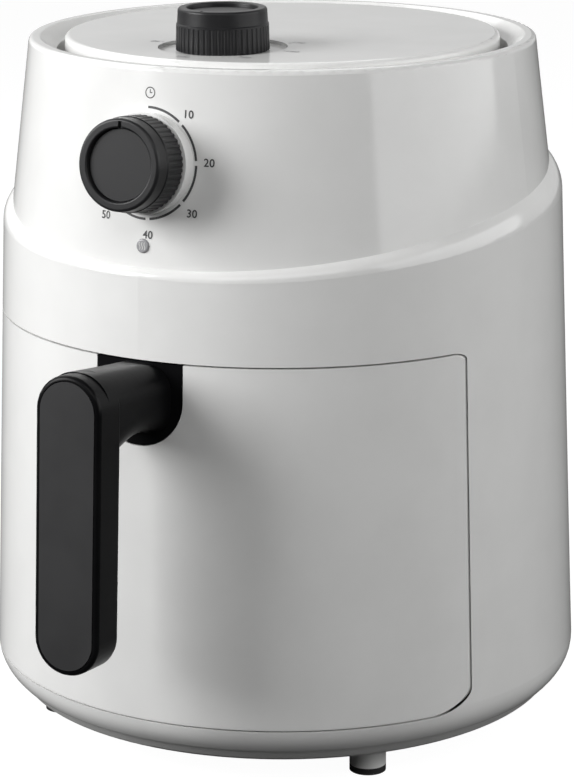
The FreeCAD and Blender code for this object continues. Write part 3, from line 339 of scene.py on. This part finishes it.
MARK_COUNT = 6
MARK_STEP = 45
MARK_GAP = 2.4
MINUTES = 10
ARC_RADIUS = 0.0236
ARC_WIDTH = 0.00105
ARC_STEPS = 24
SCALE_TURN = -4.0
SCALE_SQUEEZE = 0.965
FIGURE_RADIUS = 0.0295
FIGURE_SINK = 0.0010
FIGURE_SPREAD = 0.0022
FIGURE_HEIGHT = 0.0034
CLOCK = Vector((0, 0.0297))
CLOCK_RADIUS = 0.00225
CLOCK_LINE = 0.00042
CLOCK_STEPS = 40
HAND_LINE = 0.0004
HAND_TAIL = 0.0001
LONG_HAND = Vector((0, 0.0014))
SHORT_HAND = Vector((0.0011, 0))

# The photograph's ring is a little narrower than it is high
timer_scale = Print(lambda across, up: on_crown(across * SCALE_SQUEEZE, up))
for mark in range(MARK_COUNT):
    begin = mark * MARK_STEP + SCALE_TURN
    timer_scale.arc((0, 0), ARC_RADIUS, ARC_WIDTH,
                    begin + MARK_GAP, begin + MARK_STEP - MARK_GAP, ARC_STEPS)
for mark in range(1, MARK_COUNT + 1):
    turn = math.radians(mark * MARK_STEP + SCALE_TURN)
    reach = FIGURE_RADIUS - FIGURE_SINK * math.cos(turn) - FIGURE_SPREAD * min(0, math.sin(turn))
    spot = (reach * math.sin(turn), reach * math.cos(turn))
    timer_scale.text(str(mark * MINUTES), spot, FIGURE_HEIGHT)
timer_scale.arc(CLOCK, CLOCK_RADIUS, CLOCK_LINE, 0, 360, CLOCK_STEPS)
for hand in (LONG_HAND, SHORT_HAND):
    timer_scale.line(CLOCK - hand.normalized() * HAND_TAIL, CLOCK + hand, HAND_LINE)
timer_scale.make("timer_scale", PRINT)

# Three heat waves on the lens

WAVE_APART = 0.0012
WAVE_HALF = 0.0016
WAVE_SWAY = 0.00028
WAVE_LINE = 0.00036
WAVE_STEPS = 12

heat_sign = Print(on_lens)
for column in (-WAVE_APART, 0.0, WAVE_APART):
    left = []
    right = []
    for step in range(WAVE_STEPS + 1):
        share = step / WAVE_STEPS
        rise = WAVE_HALF * (2 * share - 1)
        middle = column + WAVE_SWAY * math.sin(share * math.tau)
        left.append((middle - WAVE_LINE / 2, rise))
        right.append((middle + WAVE_LINE / 2, rise))
    heat_sign.strip(left, right)
heat_sign.make("heat_sign", PALE_PRINT)

# Temperature scale round the top knob; the figures are guessed

HEAT_COUNT = 7
HEAT_START = 270
HEAT_LOWEST = 80
HEAT_STEP = 20
HEAT_FIGURE_RADIUS = 0.0345
HEAT_FIGURE_HEIGHT = 0.0030
HEAT_MARK_RADIUS = 0.0307
HEAT_MARK_LENGTH = 0.0011
HEAT_MARK_HALF = 1.1
HEAT_MARK_STEPS = 3

temperature_scale = Print(on_cover)
for mark in range(HEAT_COUNT):
    turn = HEAT_START + MARK_STEP * mark
    lead = math.radians(turn)
    spot = (HEAT_FIGURE_RADIUS * math.sin(lead), HEAT_FIGURE_RADIUS * math.cos(lead))
    temperature_scale.text(str(HEAT_LOWEST + HEAT_STEP * mark), spot, HEAT_FIGURE_HEIGHT)
    temperature_scale.arc((0, 0), HEAT_MARK_RADIUS, HEAT_MARK_LENGTH,
                          turn - HEAT_MARK_HALF, turn + HEAT_MARK_HALF, HEAT_MARK_STEPS)
temperature_scale.make("temperature_scale", FAINT_PRINT)


# Slotted plate of the rear air outlet

PLATE_LOW = PLATE_LEAST.z
PLATE_HIGH = PLATE_MOST.z
PLATE_HALF = PLATE_MOST.x
PLATE_RADIUS = PLATE_MOST.y - AXIS_Y
PLATE_SLOPE = 0.0395
PLATE_ROUND = 0.0047
PLATE_DEPTH = 0.0044
SLOT_COUNT = 5
SLOT_LOW = 0.211
SLOT_STEP = 0.0066
SLOT_HEIGHT = 0.0044
SLOT_HALF = 0.033
SLOT_ROUND = 0.0015
PLATE_ROUND_STEPS = 6
SLOT_ROUND_STEPS = 4
SLOT_LENGTH_STEPS = 28
LEAST_STEP = 0.00002


def corner_cut(distance, radius):
    """How far a rounded corner draws in, at a distance from the edge that it ends on."""
    if distance >= radius:
        return 0.0
    return radius - math.sqrt(radius ** 2 - (radius - distance) ** 2)


def slot_at(level):
    """The slot that a level lies in, as its lower edge, or None."""
    for slot in range(SLOT_COUNT):
        low = SLOT_LOW + slot * SLOT_STEP
        if low < level < low + SLOT_HEIGHT:
            return low
    return None


def rounding_levels(low, high, radius, steps):
    """Heights of the points on the rounded corners between a lower and an upper edge."""
    levels = []
    for step in range(steps + 1):
        rise = radius * (1 - math.cos(step / steps * math.pi / 2))
        levels += [low + rise, high - rise]
    return levels


def plate_levels():
    """Heights of the plate's rows of points: close together at corners and slot ends."""
    levels = rounding_levels(PLATE_LOW, PLATE_HIGH, PLATE_ROUND, PLATE_ROUND_STEPS)
    for slot in range(SLOT_COUNT):
        low = SLOT_LOW + slot * SLOT_STEP
        levels += rounding_levels(low, low + SLOT_HEIGHT, SLOT_ROUND, SLOT_ROUND_STEPS)
    rows = []
    for level in sorted(levels):
        if not rows or level - rows[-1] > LEAST_STEP:
            rows.append(level)
    return rows


def plate_row(level, depth):
    """One row of the plate's points: one edge, a slot's length from end to end, the other edge."""
    edge = min(level - PLATE_LOW, PLATE_HIGH - level)
    half = PLATE_HALF - corner_cut(edge, PLATE_ROUND)
    low = slot_at(level)
    end = SLOT_HALF - SLOT_ROUND
    if low is not None:
        nearest = min(level - low, low + SLOT_HEIGHT - level)
        end = SLOT_HALF - corner_cut(nearest, SLOT_ROUND)
    spots = [-half]
    for step in range(SLOT_LENGTH_STEPS + 1):
        spots.append(end * (2 * step / SLOT_LENGTH_STEPS - 1))
    spots.append(half)
    radius = PLATE_RADIUS - PLATE_SLOPE * (level - PLATE_LOW) - depth
    return [(x, AXIS_Y + math.sqrt(radius ** 2 - x ** 2), level) for x in spots]


def add_grille():
    """A curved plate with level slots, flush in the housing's rear opening."""
    rows = plate_levels()
    columns = len(plate_row(PLATE_LOW, 0))
    layer = columns * len(rows)
    points = []
    for depth in (0, PLATE_DEPTH):
        for level in rows:
            points += plate_row(level, depth)

    def solid(row, column):
        """Whether the cell above a row and beside a column is plate."""
        if not (0 <= row < len(rows) - 1 and 0 <= column < columns - 1):
            return False
        if column in (0, columns - 2):
            return True
        return slot_at((rows[row] + rows[row + 1]) / 2) is None

    faces = []
    for row in range(len(rows) - 1):
        for column in range(columns - 1):
            if not solid(row, column):
                continue
            first = row * columns + column
            corners = [first, first + 1, first + 1 + columns, first + columns]
            faces.append(tuple(reversed(corners)))
            faces.append(tuple(corner + layer for corner in corners))
            beside = [(row - 1, column), (row, column + 1), (row + 1, column), (row, column - 1)]
            for side, cell in enumerate(beside):
                start = corners[side]
                end = corners[(side + 1) % 4]
                if not solid(*cell):
                    faces.append((start, end, end + layer, start + layer))
    grille = add_piece("slotted_grille", points, faces, FINISHES["grey_plastic"])
    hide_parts("rear_grille")


add_grille()


# Floor, lights and camera

bpy.context.scene.view_settings.view_transform = "Standard"
bpy.context.scene.view_settings.look = "None"

CAMERA_TURN = math.radians(28.7)
SIGHT = Vector((-math.sin(CAMERA_TURN), math.cos(CAMERA_TURN), 0))
RIGHT = Vector((math.cos(CAMERA_TURN), math.sin(CAMERA_TURN), 0))
FLOOR_HALF = 6.0
FLOOR_DROP = 0.0002
FLOOR_GLOW = 0.97
FLOOR_SHADE = 0.12
FLOOR_COLOUR = 0.07
FLOOR_ROUGHNESS = 0.8


def floor_material():
    """A pale floor: white to the camera but for the soft shadow, and grey as a bounce."""
    material, tree_nodes, links = new_material("pale_floor")
    bounce = tree_nodes["Principled BSDF"]
    bounce.inputs["Base Color"].default_value = (FLOOR_COLOUR, FLOOR_COLOUR, FLOOR_COLOUR, 1)
    bounce.inputs["Roughness"].default_value = FLOOR_ROUGHNESS
    bounce.inputs["Specular IOR Level"].default_value = 0.0
    shade = tree_nodes.new("ShaderNodeBsdfDiffuse")
    shade.inputs["Color"].default_value = (FLOOR_SHADE, FLOOR_SHADE, FLOOR_SHADE, 1)
    glow = tree_nodes.new("ShaderNodeEmission")
    glow.inputs["Strength"].default_value = FLOOR_GLOW
    both = tree_nodes.new("ShaderNodeAddShader")
    links.new(shade.outputs[0], both.inputs[0])
    links.new(glow.outputs[0], both.inputs[1])
    ray = tree_nodes.new("ShaderNodeLightPath")
    choice = tree_nodes.new("ShaderNodeMixShader")
    links.new(ray.outputs["Is Camera Ray"], choice.inputs[0])
    links.new(bounce.outputs[0], choice.inputs[1])
    links.new(both.outputs[0], choice.inputs[2])
    links.new(choice.outputs[0], tree_nodes["Material Output"].inputs["Surface"])
    return material


floor_mesh = bpy.data.meshes.new("floor")
corners = [(-1, -1), (1, -1), (1, 1), (-1, 1)]
floor_mesh.from_pydata([(x * FLOOR_HALF, y * FLOOR_HALF, -FLOOR_DROP) for x, y in corners],
                       [], [(0, 1, 2, 3)])
floor_mesh.materials.append(floor_material())
floor = bpy.data.objects.new("floor", floor_mesh)
bpy.context.scene.collection.objects.link(floor)

ROOM_LIGHT = 0.02
BACKDROP = 0.55
FRONT_ROOM = 0.10
FADE_START = -0.1
FADE_END = 0.7


def studio_world():
    """White behind the object for the camera, a dim studio round it for reflections."""
    world = bpy.data.worlds.new("studio")
    world.use_nodes = True
    tree_nodes = world.node_tree.nodes
    links = world.node_tree.links
    room = tree_nodes["Background"]
    room.inputs["Strength"].default_value = ROOM_LIGHT
    white = tree_nodes.new("ShaderNodeBackground")
    mirrored = tree_nodes.new("ShaderNodeBackground")
    way = tree_nodes.new("ShaderNodeTexCoord")
    lead = tree_nodes.new("ShaderNodeVectorMath")
    lead.operation = "DOT_PRODUCT"
    lead.inputs[1].default_value = SIGHT
    links.new(way.outputs["Generated"], lead.inputs[0])
    fade = tree_nodes.new("ShaderNodeMapRange")
    fade.interpolation_type = "SMOOTHSTEP"
    fade.inputs["From Min"].default_value = FADE_START
    fade.inputs["From Max"].default_value = FADE_END
    fade.inputs["To Min"].default_value = FRONT_ROOM
    fade.inputs["To Max"].default_value = BACKDROP
    links.new(lead.outputs["Value"], fade.inputs["Value"])
    links.new(fade.outputs["Result"], mirrored.inputs["Strength"])
    for shade in (room, white, mirrored):
        shade.inputs["Color"].default_value = (1, 1, 1, 1)
    ray = tree_nodes.new("ShaderNodeLightPath")
    clear = tree_nodes.new("ShaderNodeMath")
    clear.operation = "MAXIMUM"
    links.new(ray.outputs["Is Glossy Ray"], clear.inputs[0])
    links.new(ray.outputs["Is Transmission Ray"], clear.inputs[1])
    first = tree_nodes.new("ShaderNodeMixShader")
    links.new(clear.outputs[0], first.inputs[0])
    links.new(room.outputs[0], first.inputs[1])
    links.new(mirrored.outputs[0], first.inputs[2])
    second = tree_nodes.new("ShaderNodeMixShader")
    links.new(ray.outputs["Is Camera Ray"], second.inputs[0])
    links.new(first.outputs[0], second.inputs[1])
    links.new(white.outputs[0], second.inputs[2])
    links.new(second.outputs[0], tree_nodes["World Output"].inputs["Surface"])
    bpy.context.scene.world = world


studio_world()

LIGHT_DISTANCE = 1.5
BODY_MIDDLE = Vector((0, AXIS_Y, 0.17))


def add_softbox(name, turn, rise, width, height, power):
    """A soft light aimed at the body: degrees to the camera's right, and degrees above level."""
    data = bpy.data.lights.new(name, "AREA")
    data.shape = "RECTANGLE"
    data.size = width
    data.size_y = height
    data.energy = power
    light = bpy.data.objects.new(name, data)
    aside = math.radians(turn)
    lift = math.radians(rise)
    level = RIGHT * math.sin(aside) - SIGHT * math.cos(aside)
    away = level * math.cos(lift) + Vector((0, 0, math.sin(lift)))
    light.location = BODY_MIDDLE + away * LIGHT_DISTANCE
    light.rotation_euler = (-away).to_track_quat("-Z", "Y").to_euler()
    bpy.context.scene.collection.objects.link(light)


add_softbox("key", turn=-74, rise=24, width=0.95, height=0.75, power=26.5)
add_softbox("panel", turn=71, rise=21, width=1.98, height=1.0, power=15)
add_softbox("top", turn=-5, rise=40, width=1.2, height=0.6, power=4.8)
add_softbox("rear", turn=-155, rise=46, width=1.6, height=0.8, power=7)

CAMERA_LENS = 134.04
SENSOR_WIDTH = 36.0
CAMERA_SHIFT = 0.0037
CAMERA_HEIGHT = 0.5022
CAMERA_DISTANCE = 1.3123
CAMERA_DIP = 0.2632
CAMERA_ROLL = -0.005

camera_data = bpy.data.cameras.new("camera")
camera_data.lens = CAMERA_LENS
camera_data.sensor_width = SENSOR_WIDTH
camera_data.shift_x = CAMERA_SHIFT
camera = bpy.data.objects.new("camera", camera_data)
place = Vector((0, AXIS_Y, CAMERA_HEIGHT)) - SIGHT * CAMERA_DISTANCE
aim = Matrix.Rotation(CAMERA_TURN, 4, "Z") @ Matrix.Rotation(math.pi / 2 - CAMERA_DIP, 4, "X")
roll = Matrix.Rotation(CAMERA_ROLL, 4, "Z")
camera.matrix_world = Matrix.Translation(place) @ aim @ roll
bpy.context.scene.collection.objects.link(camera)
bpy.context.scene.camera = camera
